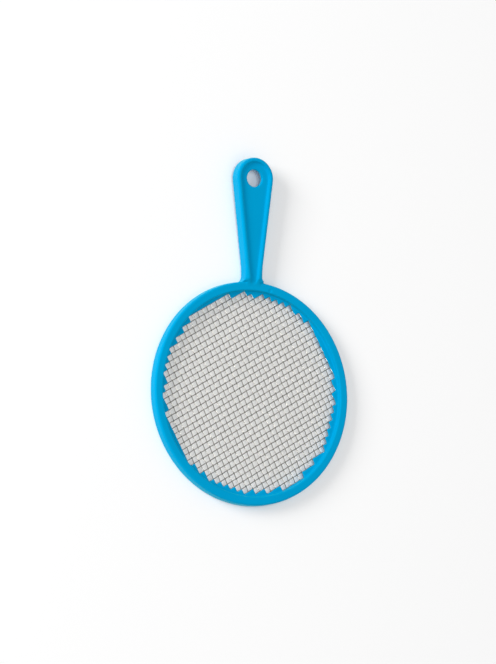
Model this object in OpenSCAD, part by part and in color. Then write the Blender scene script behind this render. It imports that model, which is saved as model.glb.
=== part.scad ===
// Sand sieve: a moulded ring and handle in one piece, set round a woven wire cloth.
// The sieve lies flat on z = 0 with its handle along +y, and the middle of its length on the z axis.

/* [Ring] */
// Outer diameter of the ring
ring_d = 180; // [150:1:220]
// Height of the ring from its flat underside
ring_h = 7.5; // [6.5:0.1:9]
// Width of the ring's band, seen from above
band_w = 7.5; // [7:0.1:10]
// Round on the ring's outer top edge
ring_round = 1.5; // [0.8:0.1:2]
// Round on the ring's inner top edge
lip_round = 0.7; // [0.4:0.1:1]
// Break on the ring's bottom edges
foot_break = 0.3; // [0.2:0.1:0.8]
// Draft of the ring's outer wall, measured at the top
wall_draft = 0.4; // [0.2:0.1:0.6]

/* [Wire cloth] */
// Distance from one wire to the next
pitch = 4.725; // [4:0.025:6]
// Wire diameter
wire_d = 0.7; // [0.5:0.05:0.8]
// Turn of the cloth in the ring, degrees
cloth_turn = 29.5; // [0:0.1:45]
// Shift of the first wire set, as a share of the pitch
warp_shift_share = 0.757; // [0:0.001:0.999]
// Shift of the second wire set, as a share of the pitch
weft_shift_share = 0.452; // [0:0.001:0.999]
// Height of the cloth's middle plane
cloth_z = 3; // [2.6:0.1:3.4]
// Clearance between wires where they cross
weave_play = 0.04; // [0.02:0.01:0.06]
// Length by which the cloth reaches into the ring
grip = 3.5; // [3:0.1:5]
// Skin of plastic over and under the cloth
skin = 0.5; // [0.4:0.05:0.7]
// Clearance round the cloth in the ring
seat_play = 0.1; // [0.05:0.01:0.15]

/* [Handle] */
// Overall length, from the ring's far edge to the handle's tip
overall_l = 280; // [250:1:330]
// Thickness of the handle over its rims
handle_h = 9.6; // [9:0.1:12]
// Slope at which the handle rises from the ring, degrees
handle_slope = 1.4; // [0:0.1:2.5]
// Radius of the handle's round end
head_r = 16.6; // [15:0.1:18]
// Radius of the handle where it meets the ring
neck_r = 6.3; // [6:0.1:7.5]
// Round on the rims' outer top edges
rim_round = 1.6; // [0.8:0.1:2]
// Width of the rims down to the panel
rim_w = 4.3; // [3.6:0.1:4.6]
// Chamfer on the rims' inner top edges
rim_chamfer = 0.9; // [0.4:0.1:1.1]
// Depth of the panel between the rims
panel_depth = 2.1; // [1.8:0.1:2.6]
// Fillet at the foot of the rims, round the panel
panel_fillet = 1; // [0.5:0.1:1.2]
// Thickness of the web under the panel
web_t = 3.2; // [2.5:0.1:4]
// Thickness of the walls round the hollow back
wall_t = 2.1; // [1.6:0.1:2.6]
// Length of solid handle between the ring and the hollow back
back_margin = 6.3; // [5:0.1:12]
// Fillet between the handle and the ring, seen from above
root_fillet = 4; // [3:0.5:6]
// Radius of the hollow curve in which the rims run out on the ring
runout_r = 12; // [8:0.5:16]
// Distance from the ring's inner edge to the end of that curve
runout_margin = 2.5; // [2:0.1:4]

/* [Hanging hole] */
// Diameter of the hole
hole_d = 14; // [8:0.5:18]
// Distance from the handle's tip to the hole's centre
hole_back = 16.6; // [15:0.1:22]

/* [Hidden] */
blue = "#009bd0";
steel = "#9a9d98";
arc_fn = 96;
head_fn = 72;
edge_steps = 4;
over = 1;

ring_r = ring_d / 2;
in_r = ring_r - band_w;

// Cloth: the wires bend by half their thickness to each side of its plane
rise = (wire_d + weave_play) / 2;
cloth_t = 2 * rise + wire_d;
bed_t = cloth_t + seat_play;
bed_r = in_r + grip;
wire_end_r = bed_r - seat_play;
skin_in_r = in_r - 1.5 * pitch;
bed_lo = cloth_z - bed_t / 2;
bed_hi = cloth_z + bed_t / 2;
first_i = -ceil(in_r / pitch) - 1;
last_i = -first_i;
warp_shift = warp_shift_share * pitch;
weft_shift = weft_shift_share * pitch;

// Handle: two rounded discs, the head and the neck, with straight sides between them. It is drawn
// level and then turned up round a line across the ring's band.
neck_gap = 1;
pivot_y = in_r + neck_gap;
sloped_l = overall_l - ring_r - pivot_y + foot_break * sin(handle_slope);
tip_y = pivot_y + sloped_l / cos(handle_slope);
head_y = tip_y - head_r;
neck_y = pivot_y + neck_r;
taper = asin((head_r - neck_r) / (head_y - neck_y));
panel_z = handle_h - panel_depth;
web_lo = panel_z - web_t;
runout_y = in_r + runout_margin;
root_half_w = neck_r / cos(taper) + (ring_r + root_fillet - neck_y) * tan(taper);
root_x = root_half_w + root_fillet;
root_y = sqrt(pow(ring_r + root_fillet, 2) - pow(root_x, 2));
root_share = ring_r / (ring_r + root_fillet);
back_start_y = ring_r + back_margin;

// Place of wire number i of each set, across its run
function warp_y(i) = i * pitch + warp_shift;
function weft_x(i) = i * pitch + weft_shift;

// Half the length of a chord at a distance from the centre of a circle
function half_chord(r, offset) = sqrt(max(r * r - offset * offset, 0));

// Points on an arc, from one angle to another
function arc(centre, r, a0, a1, steps) =
    [for (k = [0:steps]) let (a = a0 + (a1 - a0) * k / steps) centre + r * [cos(a), sin(a)]];

// Numbers of the first and the last wire that bound the open cells between warp wires j and j + 1
function row_reach(j) = half_chord(in_r, max(abs(warp_y(j)), abs(warp_y(j + 1))));
function row_right(j) = weft_x(floor((row_reach(j) - weft_shift) / pitch));
function row_left(j) = weft_x(ceil((-row_reach(j) - weft_shift) / pitch));
function row_is_open(j) = max(abs(warp_y(j)), abs(warp_y(j + 1))) < in_r && row_right(j) > row_left(j);
open_rows = [for (j = [first_i:last_i]) if (row_is_open(j)) j];
row_a = open_rows[0];
row_z = open_rows[len(open_rows) - 1];

// Outline of the open cells: plastic fills every cell that the ring covers in part
function cell_steps() = concat(
    [[row_right(row_a), warp_y(row_a)]],
    [for (j = [row_a + 1:row_z]) if (row_right(j) != row_right(j - 1))
        each [[row_right(j - 1), warp_y(j)], [row_right(j), warp_y(j)]]],
    [[row_right(row_z), warp_y(row_z + 1)], [row_left(row_z), warp_y(row_z + 1)]],
    [for (j = [row_z:-1:row_a + 1]) if (row_left(j) != row_left(j - 1))
        each [[row_left(j), warp_y(j)], [row_left(j - 1), warp_y(j)]]],
    [[row_left(row_a), warp_y(row_a)]]);

// Section of the ring: a band with a bed cut into its inner wall for the edge of the cloth
module ring_section() {
    polygon(concat(
        [[in_r + foot_break, 0], [ring_r - foot_break, 0], [ring_r, foot_break]],
        arc([ring_r - wall_draft - ring_round, ring_h - ring_round], ring_round, 0, 90, edge_steps),
        arc([in_r + lip_round, ring_h - lip_round], lip_round, 90, 180, edge_steps),
        [[in_r, bed_hi + skin], [skin_in_r, bed_hi + skin], [skin_in_r, bed_hi], [bed_r, bed_hi],
         [bed_r, bed_lo], [skin_in_r, bed_lo], [skin_in_r, bed_lo - skin], [in_r, bed_lo - skin],
         [in_r, foot_break]]));
}

// Outline of the handle, drawn in by a margin on all sides
module handle_outline(margin) {
    polygon(concat(
        arc([0, head_y], head_r - margin, -taper, 180 + taper, head_fn / 2),
        arc([0, neck_y], neck_r - margin, 180 + taper, 360 - taper, head_fn / 4)));
}

module sloped() {
    translate([0, pivot_y, 0]) rotate([handle_slope, 0, 0]) translate([0, -pivot_y, 0]) children();
}

// One disc at the head and one at the neck, drawn together
module head_to_neck() {
    hull() {
        translate([0, head_y, 0]) rotate_extrude($fn = head_fn) children(0);
        translate([0, neck_y, 0]) rotate_extrude($fn = head_fn) children(1);
    }
}

// Half the section of a disc with its top and bottom edges rounded
module body_section(r) {
    polygon(concat(
        [[0, 0], [r - foot_break, 0], [r, foot_break]],
        arc([r - rim_round, handle_h - rim_round], rim_round, 0, 90, edge_steps),
        [[0, handle_h]]));
}

// The same for the panel, with a fillet round its foot
module panel_section(r) {
    polygon(concat(
        [[0, panel_z]],
        arc([r - panel_fillet, panel_z + panel_fillet], panel_fillet, -90, 0, edge_steps),
        [[r, handle_h + over], [0, handle_h + over]]));
}

// The same for the chamfer round the panel's mouth
module mouth_section(r) {
    polygon([[0, handle_h - rim_chamfer], [r, handle_h - rim_chamfer],
        [r + rim_chamfer + over, handle_h + over], [0, handle_h + over]]);
}

module handle_body() {
    head_to_neck() {
        body_section(head_r);
        body_section(neck_r);
    }
}

// Fillets that spread the handle's root onto the ring
module root_fillets() {
    linear_extrude(handle_h - rim_round)
        difference() {
            translate([-root_x * root_share, neck_y])
                square([2 * root_x * root_share, root_y - neck_y]);
            for (side = [-1, 1])
                translate([side * root_x, root_y]) circle(root_fillet, $fn = arc_fn);
        }
}

// What is taken off above the ring, so that the handle runs out in a hollow curve on its top face
module rim_runout() {
    translate([-head_r, 0, 0])
        rotate([90, 0, 90])
            linear_extrude(2 * head_r) {
                translate([in_r - over, ring_h])
                    square([runout_margin + over, handle_h]);
                translate([runout_y, ring_h + runout_r]) circle(runout_r, $fn = arc_fn);
            }
}

// Panel sunk between the rims
module top_panel() {
    head_to_neck() {
        panel_section(head_r - rim_w);
        panel_section(neck_r - rim_w);
    }
    head_to_neck() {
        mouth_section(head_r - rim_w);
        mouth_section(neck_r - rim_w);
    }
}

// Hollow back of the handle, closed at the ring
module hollow_back() {
    translate([0, 0, -over])
        linear_extrude(web_lo + over)
            intersection() {
                handle_outline(wall_t);
                translate([-head_r, back_start_y]) square([2 * head_r, overall_l]);
            }
}

module hanging_hole() {
    translate([0, tip_y - hole_back, -over]) cylinder(d = hole_d, h = handle_h + 2 * over, $fn = arc_fn);
}

module open_cells() {
    rotate([0, 0, cloth_turn])
        translate([0, 0, -over]) linear_extrude(ring_h + 2 * over) polygon(cell_steps());
}

module frame() {
    color(blue)
        difference() {
            union() {
                rotate_extrude($fn = 2 * arc_fn) ring_section();
                difference() {
                    sloped()
                        difference() {
                            union() {
                                handle_body();
                                root_fillets();
                            }
                            top_panel();
                            hollow_back();
                        }
                    rim_runout();
                }
            }
            sloped() hanging_hole();
            open_cells();
        }
}

// One crimped wire along x: level where it crosses a wire of the other set, sloping between.
// xs are the places of the crossings and ups says, for each, whether the wire goes over.
module crimped_wire(half_l, xs, ups) {
    path = concat(
        [[-half_l, ups[0] ? rise : -rise]],
        [for (k = [0:len(xs) - 1]) let (z = ups[k] ? rise : -rise)
            each [[xs[k] - wire_d / 2, z], [xs[k] + wire_d / 2, z]]],
        [[half_l, ups[len(xs) - 1] ? rise : -rise]]);
    n = len(path);
    translate([0, wire_d / 2, 0])
        rotate([90, 0, 0])
            linear_extrude(wire_d)
                polygon(concat(
                    [for (p = path) p - [0, wire_d / 2]],
                    [for (k = [n - 1:-1:0]) path[k] + [0, wire_d / 2]]));
}

// A set of parallel wires along x. across are the places of the set's own wires and along those of
// the wires that they cross. parity says which crossings go over.
module wire_set(across, along, parity) {
    for (i = [first_i:last_i])
        if (abs(across[i - first_i]) < in_r) {
            half_l = half_chord(wire_end_r, abs(across[i - first_i]) + wire_d / 2);
            ks = [for (k = [first_i:last_i]) if (abs(along[k - first_i]) < half_l - wire_d) k];
            translate([0, across[i - first_i], 0])
                crimped_wire(half_l,
                    [for (k = ks) along[k - first_i]],
                    [for (k = ks) (i + k + parity) % 2 == 0]);
        }
}

warp_places = [for (i = [first_i:last_i]) warp_y(i)];
weft_places = [for (i = [first_i:last_i]) weft_x(i)];

module warp_wires() {
    color(steel)
        translate([0, 0, cloth_z]) rotate([0, 0, cloth_turn]) wire_set(warp_places, weft_places, 0);
}

// The second set runs across the first: mirrored in the diagonal, with over and under exchanged
module weft_wires() {
    color(steel)
        translate([0, 0, cloth_z]) rotate([0, 0, cloth_turn])
            mirror([1, -1, 0]) wire_set(weft_places, warp_places, 1);
}

// Every piece is drawn round the ring's centre and moved as one, to the middle of the length
module placed() {
    translate([0, ring_r - overall_l / 2, 0]) children();
}

placed() frame();
placed() warp_wires();
placed() weft_wires();
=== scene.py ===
"""A sand sieve: a blue moulded ring and handle in one piece, with a woven steel cloth set in the ring."""

import math

import bmesh
import bpy
from mathutils import Matrix, Vector


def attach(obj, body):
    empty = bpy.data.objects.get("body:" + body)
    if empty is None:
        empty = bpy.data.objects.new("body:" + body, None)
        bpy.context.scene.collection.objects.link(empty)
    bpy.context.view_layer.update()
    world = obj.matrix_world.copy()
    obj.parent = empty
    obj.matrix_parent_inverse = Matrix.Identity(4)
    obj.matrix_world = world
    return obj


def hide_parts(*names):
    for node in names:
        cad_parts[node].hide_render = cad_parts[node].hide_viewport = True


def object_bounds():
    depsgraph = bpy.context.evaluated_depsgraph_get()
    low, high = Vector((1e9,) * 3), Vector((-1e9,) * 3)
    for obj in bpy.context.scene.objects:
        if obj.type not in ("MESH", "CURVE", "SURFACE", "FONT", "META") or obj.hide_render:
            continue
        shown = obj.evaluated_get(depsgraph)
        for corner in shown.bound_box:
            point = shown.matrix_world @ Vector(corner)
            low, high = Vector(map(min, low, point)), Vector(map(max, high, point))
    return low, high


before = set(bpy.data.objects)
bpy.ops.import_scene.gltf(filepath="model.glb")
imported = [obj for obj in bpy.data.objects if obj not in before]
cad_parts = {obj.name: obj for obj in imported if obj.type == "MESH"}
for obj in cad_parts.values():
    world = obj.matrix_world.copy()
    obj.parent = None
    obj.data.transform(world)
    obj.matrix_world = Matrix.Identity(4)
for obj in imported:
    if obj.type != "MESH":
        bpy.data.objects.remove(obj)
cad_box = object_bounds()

MM = 0.001

# The sieve's own sizes in millimetres. The ring's radius and the overall length come from the frame. The
# others repeat the part's source, but the rims, the root and the ring's inner lip are drawn a little finer.
# y is measured from the ring's centre.
box_low, box_high = (Vector(corner) for corner in cad_box)
RING_R = round((box_high.x - box_low.x) / 2 / MM, 1)
OVERALL_L = round((box_high.y - box_low.y) / MM, 1)
BAND_W = 7.5
RING_H = 7.5
IN_R = RING_R - BAND_W
RING_ROUND = 1.5
RING_LIP = 0.9
WALL_DRAFT = 0.4
FOOT_BREAK = 0.3
HANDLE_H = 9.6
HEAD_R = 16.6
NECK_R = 6.3
RIM_W = 3.5
RIM_ROUND = 1.6
RIM_LIP = 0.9
PANEL_Z = HANDLE_H - 2.1
PANEL_FILLET = 1
WEB_T = 3.2
WEB_LOW = PANEL_Z - WEB_T
WALL_T = 2.1
HOLE_R = 7
HOLE_BACK = 16.6
ROOT_W = 7.8
ROOT_FILLET = 4.5
RUNOUT_R = 12
RUNOUT_Y = IN_R + 2.5
BACK_START_Y = RING_R + 6.3

# The mark of an ejector pin in the ring's top, beside the handle
PIN_R = 1.4
PIN_DEPTH = 0.6
PIN_PLACE = (16, 83.2, RING_H)

# The handle is drawn level and then turned up round a line across the ring's band
SLOPE = math.radians(1.4)
PIVOT_Y = IN_R + 1
TIP_Y = PIVOT_Y + (OVERALL_L - RING_R - PIVOT_Y + FOOT_BREAK * math.sin(SLOPE)) / math.cos(SLOPE)
HEAD_Y = TIP_Y - HEAD_R
NECK_Y = PIVOT_Y + NECK_R
HOLE_Y = TIP_Y - HOLE_BACK

# The cloth. A wire bends over BEND of a pitch at each crossing, half of it on either side.
PITCH = 4.725
WIRE_D = 0.7
CLOTH_TURN = math.radians(29.5)
WARP_SHIFT = 0.757 * PITCH
WEFT_SHIFT = 0.452 * PITCH
CLOTH_Z = 3
WEAVE_PLAY = 0.04
RISE = (WIRE_D + WEAVE_PLAY) / 2
BEND = 0.15
WAVES = 2 * int(IN_R / PITCH / 2 + 3)

# The ledge holds the wires' ends in a skin of plastic
SEAT_PLAY = 0.1
SKIN = 0.5
LEDGE_T = 2 * RISE + WIRE_D + SEAT_PLAY + 2 * SKIN
WIRE_END_R = IN_R + 3.4
LEDGE_R = IN_R + 4

# How far a cutting tool reaches past what it cuts, how near two places count as one, and how fine the round
# forms and the finished moulding are
OVER = 5
NEAR = 0.01
RING_STEPS = 288
HANDLE_STEPS = 120
VOXEL = 0.57

# Where the ring's centre lies in the row's frame
CENTRE = Vector((0, RING_R - OVERALL_L / 2, 0)) * MM


def deselect():
    if bpy.context.mode != "OBJECT":
        bpy.ops.object.mode_set(mode="OBJECT")
    bpy.ops.object.select_all(action="DESELECT")


def choose(piece):
    """Makes one piece the only one that is selected, and the active one."""
    deselect()
    piece.select_set(True)
    bpy.context.view_layer.objects.active = piece


def edit(piece, kind="VERT"):
    """Opens a piece in edit mode with nothing selected, and gives its editable mesh."""
    choose(piece)
    bpy.ops.object.mode_set(mode="EDIT")
    bpy.ops.mesh.select_mode(type=kind)
    bpy.ops.mesh.select_all(action="DESELECT")
    return bmesh.from_edit_mesh(piece.data)


def pick(piece, kind, test):
    """Selects the vertices, edges or faces that pass a test, in edit mode."""
    mesh = edit(piece, kind)
    parts = {"VERT": mesh.verts, "EDGE": mesh.edges, "FACE": mesh.faces}[kind]
    for part in parts:
        if test(part):
            part.select_set(True)
    mesh.select_flush_mode()
    bmesh.update_edit_mesh(piece.data)


def start(name):
    """Names the piece that was just added or joined, and puts its place, turn and scale into its mesh."""
    piece = bpy.context.object
    piece.name = piece.data.name = name
    choose(piece)
    bpy.ops.object.transform_apply(location=True, rotation=True, scale=True)
    return piece


def apply(piece, kind, **settings):
    """Adds a modifier to a piece and applies it."""
    choose(piece)
    modifier = piece.modifiers.new(kind, kind)
    for key, value in settings.items():
        setattr(modifier, key, value)
    bpy.ops.object.modifier_apply(modifier=modifier.name)


def carve(piece, tool, operation="DIFFERENCE"):
    """Cuts one piece with another, which is used up."""
    apply(piece, "BOOLEAN", operation=operation, solver="EXACT", object=tool)
    bpy.data.objects.remove(tool)


def tidy(piece):
    """Merges a piece's doubled vertices and turns its faces outwards."""
    edit(piece)
    bpy.ops.mesh.select_all(action="SELECT")
    bpy.ops.mesh.remove_doubles(threshold=0.001 * MM)
    bpy.ops.mesh.normals_make_consistent(inside=False)
    deselect()


def block(name, low, high):
    """A tool for cutting: a box between two corners, in millimetres from the ring's centre."""
    low, high = Vector(low) * MM, Vector(high) * MM
    bpy.ops.mesh.primitive_cube_add(size=1, location=(low + high) / 2, scale=high - low)
    return start(name)


def post(name, radius, place, length, rotation=(0, 0, 0), sides=96):
    """A tool for cutting: a round bar through a place, in millimetres from the ring's centre."""
    bpy.ops.mesh.primitive_cylinder_add(vertices=sides, radius=radius * MM, depth=length * MM,
                                        location=Vector(place) * MM, rotation=rotation)
    return start(name)


# The ring: its section is drawn as a plane on edge, rounded at the corners and spun round the centre. An
# ejector pin has left its round mark in the top.
def make_ring():
    bpy.ops.mesh.primitive_plane_add(size=1, location=((IN_R + BAND_W / 2) * MM, 0, RING_H / 2 * MM),
                                     rotation=(math.pi / 2, 0, 0))
    bpy.context.object.scale = (BAND_W * MM, RING_H * MM, 1)
    ring = start("ring")

    def top(v):
        return v.co.z > RING_H / 2 * MM

    def outer(v):
        return v.co.x > (RING_R - BAND_W / 2) * MM

    pick(ring, "VERT", lambda v: top(v) and outer(v))
    bpy.ops.transform.translate(value=(-WALL_DRAFT * MM, 0, 0))
    bpy.ops.mesh.bevel(offset=RING_ROUND * MM, segments=8, affect="VERTICES")
    pick(ring, "VERT", lambda v: top(v) and not outer(v))
    bpy.ops.mesh.bevel(offset=RING_LIP * MM, segments=6, affect="VERTICES")
    pick(ring, "VERT", lambda v: not top(v))
    bpy.ops.mesh.bevel(offset=FOOT_BREAK * MM, segments=3, affect="VERTICES")
    pick(ring, "FACE", lambda f: True)
    bpy.ops.mesh.delete(type="ONLY_FACE")
    pick(ring, "EDGE", lambda e: True)
    bpy.ops.mesh.spin(steps=RING_STEPS, angle=2 * math.pi, center=(0, 0, 0), axis=(0, 0, 1),
                      use_auto_merge=True)
    tidy(ring)
    carve(ring, post("pin_tool", PIN_R, PIN_PLACE, 2 * PIN_DEPTH, sides=24))
    return ring


# The ledge: a grid laid along the wires, which keeps each cell that the ring would cut and loses the rest
def make_ledge():
    cells = 2 * (int(IN_R / PITCH) + 3)
    bpy.ops.mesh.primitive_grid_add(
        x_subdivisions=cells, y_subdivisions=cells, size=cells * PITCH * MM,
        location=Vector((WEFT_SHIFT, WARP_SHIFT, CLOTH_Z - LEDGE_T / 2)) * MM)
    ledge = start("ledge")

    def reach(face, limit):
        return limit(v.co.xy.length for v in face.verts)

    pick(ledge, "FACE", lambda f: reach(f, max) < IN_R * MM or reach(f, min) > LEDGE_R * MM)
    bpy.ops.mesh.delete(type="FACE")
    pick(ledge, "FACE", lambda f: True)
    bpy.ops.mesh.extrude_region_move(TRANSFORM_OT_translate={"value": (0, 0, LEDGE_T * MM)})
    bpy.ops.mesh.select_all(action="SELECT")
    bpy.ops.mesh.normals_make_consistent(inside=False)
    deselect()
    carve(ledge, post("ledge_trim", LEDGE_R, (0, 0, CLOTH_Z), 3 * LEDGE_T, sides=192), "INTERSECT")
    ledge.data.transform(Matrix.Rotation(CLOTH_TURN, 4, "Z"))
    return ledge


def raise_and_run_out(piece):
    """Turns a piece of the handle up by its slope, and takes off what stands above the ring, so that it runs
    out in a hollow curve on the ring's top face."""
    pivot = Vector((0, PIVOT_Y, 0)) * MM
    piece.data.transform(Matrix.Translation(pivot) @ Matrix.Rotation(SLOPE, 4, "X")
                         @ Matrix.Translation(-pivot))
    carve(piece, block("runout_block", (-HEAD_R, IN_R - OVER, RING_H), (HEAD_R, RUNOUT_Y, 2 * HANDLE_H)))
    carve(piece, post("runout_bar", RUNOUT_R, (0, RUNOUT_Y, RING_H + RUNOUT_R), 4 * HEAD_R,
                      (0, math.pi / 2, 0)))


# The handle: two discs drawn together into one tapered body, with a panel sunk in its top and a hollow back
def make_handle():
    bpy.ops.mesh.primitive_cylinder_add(vertices=HANDLE_STEPS, radius=HEAD_R * MM, depth=HANDLE_H * MM,
                                        location=(0, HEAD_Y * MM, HANDLE_H / 2 * MM))
    handle = start("handle")
    edit(handle)
    bpy.ops.mesh.primitive_cylinder_add(vertices=HANDLE_STEPS, radius=NECK_R * MM, depth=HANDLE_H * MM,
                                        location=(0, NECK_Y * MM, HANDLE_H / 2 * MM))
    bpy.ops.mesh.select_all(action="SELECT")
    bpy.ops.mesh.convex_hull()
    bpy.ops.mesh.select_all(action="SELECT")
    bpy.ops.mesh.dissolve_limited(angle_limit=math.radians(0.5))

    def level(part, z):
        return all(abs(v.co.z - z * MM) < NEAR * MM for v in part.verts)

    def wall_ends(edge, z):
        return level(edge, z) and any(abs(f.normal.z) < 0.1 for f in edge.link_faces)

    pick(handle, "EDGE", lambda e: level(e, HANDLE_H))
    bpy.ops.mesh.bevel(offset=RIM_ROUND * MM, segments=6, affect="EDGES")
    pick(handle, "EDGE", lambda e: level(e, 0))
    bpy.ops.mesh.bevel(offset=FOOT_BREAK * MM, segments=3, affect="EDGES")
    pick(handle, "FACE", lambda f: level(f, HANDLE_H))
    bpy.ops.mesh.inset(thickness=(RIM_W - RIM_ROUND) * MM)
    bpy.ops.mesh.extrude_region_move(TRANSFORM_OT_translate={"value": (0, 0, (PANEL_Z - HANDLE_H) * MM)})
    pick(handle, "EDGE", lambda e: wall_ends(e, HANDLE_H))
    bpy.ops.mesh.bevel(offset=RIM_LIP * MM, segments=5, affect="EDGES")
    pick(handle, "EDGE", lambda e: wall_ends(e, PANEL_Z))
    bpy.ops.mesh.bevel(offset=PANEL_FILLET * MM, segments=6, affect="EDGES")
    back_inset = WALL_T - FOOT_BREAK
    pick(handle, "FACE", lambda f: level(f, 0))
    bpy.ops.mesh.bisect(plane_co=(0, (BACK_START_Y - back_inset) * MM, 0), plane_no=(0, 1, 0))
    pick(handle, "FACE", lambda f: level(f, 0) and f.calc_center_median().y > BACK_START_Y * MM)
    bpy.ops.mesh.inset(thickness=back_inset * MM)
    bpy.ops.mesh.extrude_region_move(TRANSFORM_OT_translate={"value": (0, 0, WEB_LOW * MM)})
    tidy(handle)
    carve(handle, post("hole_tool", HOLE_R, (0, HOLE_Y, HANDLE_H / 2), 2 * HANDLE_H))
    raise_and_run_out(handle)
    return handle


# The handle's root on the ring: a parallel neck, and a block with a round bite on either side that spreads
# it in two fillets. A slot leaves the panel between the rims free.
def make_root():
    taper = math.asin((HEAD_R - NECK_R) / (HEAD_Y - NECK_Y))
    end = NECK_Y + (ROOT_W - NECK_R / math.cos(taper)) / math.tan(taper)
    top = HANDLE_H - RIM_ROUND / 2
    bite_x = ROOT_W + ROOT_FILLET
    bite_y = math.sqrt((RING_R + ROOT_FILLET) ** 2 - bite_x ** 2)
    half = bite_x * RING_R / (RING_R + ROOT_FILLET)
    root = block("root", (-half, NECK_Y, FOOT_BREAK), (half, bite_y, top))
    for side in (-1, 1):
        carve(root, post("root_tool", ROOT_FILLET, (side * bite_x, bite_y, HANDLE_H / 2), 2 * HANDLE_H))
    carve(root, block("root_neck", (-ROOT_W, NECK_Y, FOOT_BREAK), (ROOT_W, end, top)), "UNION")
    inside = NECK_R - RIM_ROUND
    carve(root, block("root_slot", (-inside, IN_R, WEB_LOW), (inside, end + OVER, 2 * HANDLE_H)))
    raise_and_run_out(root)
    return root


def make_frame():
    """Joins ring, ledge, handle and root into one moulding with soft edges."""
    pieces = [make_ring(), make_ledge(), make_handle(), make_root()]
    choose(pieces[0])
    for piece in pieces[1:]:
        piece.select_set(True)
    bpy.ops.object.join()
    moulding = start("moulded_frame")
    apply(moulding, "REMESH", mode="VOXEL", voxel_size=VOXEL * MM, adaptivity=0)
    apply(moulding, "SMOOTH", factor=0.5, iterations=3)
    moulding.data.transform(Matrix.Translation(CENTRE))
    choose(moulding)
    bpy.ops.object.shade_smooth()
    return moulding


def make_master_wire():
    """One wire of the cloth, longer than any it needs: two crossings are modelled, and the rest repeats.
    It bends where it crosses a wire and runs straight between."""
    def height(share):
        """The wire's height on its slope, as a share of RISE. 1 is at one crossing and -1 at the next."""
        return 1 - (share - BEND / 2) / (0.5 - BEND / 2)

    # The two places in the middle keep the slope straight under smooth shading
    slope_places = (BEND, 0.35, 0.65, 1 - BEND)
    places = [0, *slope_places, 1]
    heights = [1, *(height(share) for share in slope_places), -1]
    bpy.ops.mesh.primitive_circle_add(vertices=8, radius=WIRE_D / 2 * MM, rotation=(0, math.pi / 2, 0),
                                      location=(0, 0, RISE * MM))
    wire = start("master_wire")
    end = 0
    for way in (1, -1):
        for k in range(len(places) - 1):
            pick(wire, "VERT", lambda v: v.co.x > (end - NEAR) * MM)
            step = (places[k + 1] - places[k]) * PITCH
            drop = way * RISE * (heights[k + 1] - heights[k])
            bpy.ops.mesh.extrude_region_move(TRANSFORM_OT_translate={"value": (step * MM, 0, drop * MM)})
            end += step
    deselect()
    apply(wire, "ARRAY", count=WAVES, use_relative_offset=False, use_constant_offset=True,
          constant_offset_displace=(2 * PITCH * MM, 0, 0), use_merge_vertices=True,
          merge_threshold=NEAR * MM)
    return wire


def make_wires(name, across, along, parity, turn):
    """A set of wires along x, cut to the circle of the bed. across and along are the shifts of the set's own
    wires and of those that they cross, parity says which wires start low, and turn lays the set in place."""
    master = make_master_wire()
    last = int(IN_R / PITCH) + 2
    wires = []
    for i in range(-last, last + 1):
        offset = i * PITCH + across
        if abs(offset) >= IN_R:
            continue
        half = math.sqrt(WIRE_END_R ** 2 - (abs(offset) + WIRE_D / 2) ** 2)
        wire = master.copy()
        wire.data = master.data.copy()
        bpy.context.collection.objects.link(wire)
        begin = along + ((i + parity) % 2 - WAVES) * PITCH
        wire.data.transform(Matrix.Translation(Vector((begin, offset, CLOTH_Z)) * MM))
        for side in (-1, 1):
            edit(wire)
            bpy.ops.mesh.select_all(action="SELECT")
            bpy.ops.mesh.bisect(plane_co=(side * half * MM, 0, 0), plane_no=(side, 0, 0), clear_outer=True,
                                use_fill=True)
        deselect()
        wires.append(wire)
    bpy.data.objects.remove(master)
    choose(wires[0])
    for wire in wires[1:]:
        wire.select_set(True)
    bpy.ops.object.join()
    cloth = start(name)
    cloth.data.transform(Matrix.Translation(CENTRE) @ Matrix.Rotation(CLOTH_TURN, 4, "Z") @ turn)
    tidy(cloth)
    choose(cloth)
    bpy.ops.object.shade_smooth_by_angle(angle=math.radians(60))
    return cloth


def colour(code):
    """Turns an sRGB hex value to Blender's linear colour."""
    parts = [int(code[i:i + 2], 16) / 255 for i in (1, 3, 5)]
    return [c / 12.92 if c <= 0.04045 else ((c + 0.055) / 1.055) ** 2.4 for c in parts] + [1]


def add_node(tree, kind, inputs=None, **settings):
    """Adds a node. inputs holds its sockets' values, or the sockets that they are linked from."""
    node = tree.nodes.new(kind)
    for key, value in settings.items():
        setattr(node, key, value)
    for key, value in (inputs or {}).items():
        if isinstance(value, bpy.types.NodeSocket):
            tree.links.new(value, node.inputs[key])
        else:
            node.inputs[key].default_value = value
    return node


def new_material(name):
    material = bpy.data.materials.new(name)
    material.use_nodes = True
    material.node_tree.nodes.clear()
    return material, material.node_tree


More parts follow.
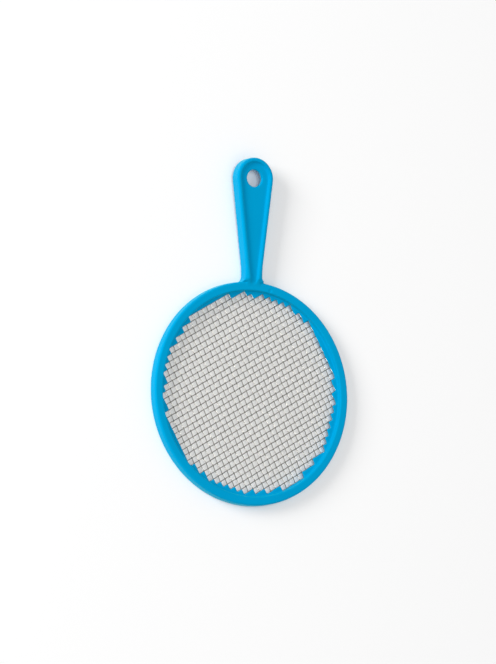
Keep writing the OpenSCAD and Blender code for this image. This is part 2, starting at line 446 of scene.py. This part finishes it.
# Polypropylene, injection moulded: a satin surface with the fine peel of the mould, and colour that runs
# a little uneven where the melt flowed.
def moulded_polypropylene():
    material, tree = new_material("moulded_polypropylene")
    place = add_node(tree, "ShaderNodeTexCoord").outputs["Object"]
    flow_size = 40 * MM
    peel_size = 1.6 * MM
    flow = add_node(tree, "ShaderNodeTexNoise", {"Vector": place, "Scale": 1 / flow_size, "Detail": 2})
    peel = add_node(tree, "ShaderNodeTexNoise", {"Vector": place, "Scale": 1 / peel_size, "Detail": 3})
    tint = add_node(tree, "ShaderNodeValToRGB", {"Fac": flow.outputs["Fac"]})
    for element, position, code in zip(tint.color_ramp.elements, (0.3, 0.7), ("#0097cc", "#009bd0")):
        element.position = position
        element.color = colour(code)
    gloss = add_node(tree, "ShaderNodeMapRange", {"Value": peel.outputs["Fac"], "From Min": 0.3,
                                                  "From Max": 0.7, "To Min": 0.36, "To Max": 0.46})
    bump = add_node(tree, "ShaderNodeBump", {"Height": peel.outputs["Fac"], "Strength": 0.15,
                                             "Distance": 0.05 * MM})
    shader = add_node(tree, "ShaderNodeBsdfPrincipled", {
        "Base Color": tint.outputs["Color"], "Roughness": gloss.outputs["Result"], "IOR": 1.49,
        "Specular IOR Level": 0.1, "Specular Tint": colour("#00d8ff"), "Sheen Weight": 0.45,
        "Sheen Roughness": 0.5, "Sheen Tint": colour("#00e8d0"), "Normal": bump.outputs["Normal"]})
    add_node(tree, "ShaderNodeOutputMaterial", {"Surface": shader.outputs["BSDF"]})
    return material


# Galvanised steel wire: grey, with zinc that is duller in some places than in others
def galvanised_wire():
    material, tree = new_material("galvanised_wire")
    place = add_node(tree, "ShaderNodeTexCoord").outputs["Object"]
    patch_size = 2 * MM
    zinc = add_node(tree, "ShaderNodeTexNoise", {"Vector": place, "Scale": 1 / patch_size, "Detail": 2})
    tint = add_node(tree, "ShaderNodeValToRGB", {"Fac": zinc.outputs["Fac"]})
    for element, position, code in zip(tint.color_ramp.elements, (0.3, 0.7), ("#9d9b94", "#acaaa2")):
        element.position = position
        element.color = colour(code)
    gloss = add_node(tree, "ShaderNodeMapRange", {"Value": zinc.outputs["Fac"], "From Min": 0.3,
                                                  "From Max": 0.7, "To Min": 0.15, "To Max": 0.21})
    shader = add_node(tree, "ShaderNodeBsdfPrincipled", {
        "Base Color": tint.outputs["Color"], "Metallic": 1, "Roughness": gloss.outputs["Result"]})
    add_node(tree, "ShaderNodeOutputMaterial", {"Surface": shader.outputs["BSDF"]})
    return material


# White paper under the sieve
def white_paper():
    material, tree = new_material("white_paper")
    shader = add_node(tree, "ShaderNodeBsdfPrincipled", {"Base Color": colour("#ffffff"), "Roughness": 1,
                                                         "Specular IOR Level": 0})
    add_node(tree, "ShaderNodeOutputMaterial", {"Surface": shader.outputs["BSDF"]})
    return material


def dress(piece, material, node):
    """Gives a piece and the node that it stands for their material, and puts the piece on the frame."""
    for mesh in (piece.data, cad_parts[node].data):
        mesh.materials.clear()
        mesh.materials.append(material)
    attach(piece, "root")
    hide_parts(node)


plastic = moulded_polypropylene()
steel = galvanised_wire()

dress(make_frame(), plastic, "frame")

# Both sets are drawn along x, and then x and y are exchanged in the weft
as_drawn = Matrix.Identity(4)
exchanged = Matrix(((0, 1, 0, 0), (1, 0, 0, 0), (0, 0, 1, 0), (0, 0, 0, 1)))
dress(make_wires("warp_set", WARP_SHIFT, WEFT_SHIFT, 0, as_drawn), steel, "warp_wires")
dress(make_wires("weft_set", WEFT_SHIFT, WARP_SHIFT, 1, exchanged), steel, "weft_wires")

# Floor, a hair below the sieve
FLOOR_SIZE = 6
FLOOR_GAP = 0.05
deselect()
bpy.ops.mesh.primitive_plane_add(size=FLOOR_SIZE, location=(0, 0, -FLOOR_GAP * MM))
floor = start("floor")
floor.data.materials.append(white_paper())

# Camera: from the left, far off, with the sieve a little turned in the picture. Angles are in degrees.
AZIMUTH, TILT, ROLL = 12.569, 31.619, -10.732
DISTANCE = 2600
AIM = Vector((-3.322, -0.777, 4.598)) * MM
FOCAL_PX = 3253
PHOTO_H_PX = 664
deselect()
bpy.ops.object.camera_add()
camera = bpy.context.object
camera.name = "camera"
turn = (Matrix.Rotation(math.radians(AZIMUTH), 4, "Z") @ Matrix.Rotation(math.radians(-TILT), 4, "Y")
        @ Matrix.Rotation(math.radians(ROLL), 4, "Z"))
camera.matrix_world = Matrix.Translation(AIM) @ turn @ Matrix.Translation(Vector((0, 0, DISTANCE)) * MM)
camera.data.lens = FOCAL_PX / PHOTO_H_PX * camera.data.sensor_width
camera.data.clip_end = 20
bpy.context.scene.camera = camera

# Light: a soft box on the left, a long one above that the wires glint in, a weak one low in front, and the
# even light of a plain room
ROOM_LIGHT = 0.42
LAMP_DISTANCE = 5
world = bpy.data.worlds.new("studio")
bpy.context.scene.world = world
world.use_nodes = True
world.node_tree.nodes.clear()
room = add_node(world.node_tree, "ShaderNodeBackground", {"Color": colour("#ffffff"),
                                                          "Strength": ROOM_LIGHT})
add_node(world.node_tree, "ShaderNodeOutputWorld", {"Surface": room.outputs["Background"]})


def soft_box(name, direction, long_side, size, strength):
    """An area lamp that looks at the sieve. strength is its light there, as a share of a white room's."""
    bpy.ops.object.light_add(type="AREA")
    lamp = bpy.context.object
    lamp.name = name
    lamp.data.shape = "RECTANGLE"
    lamp.data.size, lamp.data.size_y = size
    lamp.data.energy = strength * (math.pi * LAMP_DISTANCE) ** 2
    away = Vector(direction).normalized()
    side = Vector(long_side)
    side = (side - side.dot(away) * away).normalized()
    turn = Matrix((side, away.cross(side), away)).transposed().to_4x4()
    lamp.matrix_world = Matrix.Translation(away * LAMP_DISTANCE) @ turn


soft_box("left_box", (-0.88, 0.33, 0.33), (0, 1, 0), (2.4, 1.6), 0.76)
soft_box("top_box", (-0.295, 0.014, 0.953), (0.87, 0.49, 0), (4, 0.6), 0.33)
soft_box("front_box", (0.15, -0.49, 0.86), (0.87, 0.49, 0), (4, 1), 0.05)

bpy.context.scene.view_settings.view_transform = "Standard"
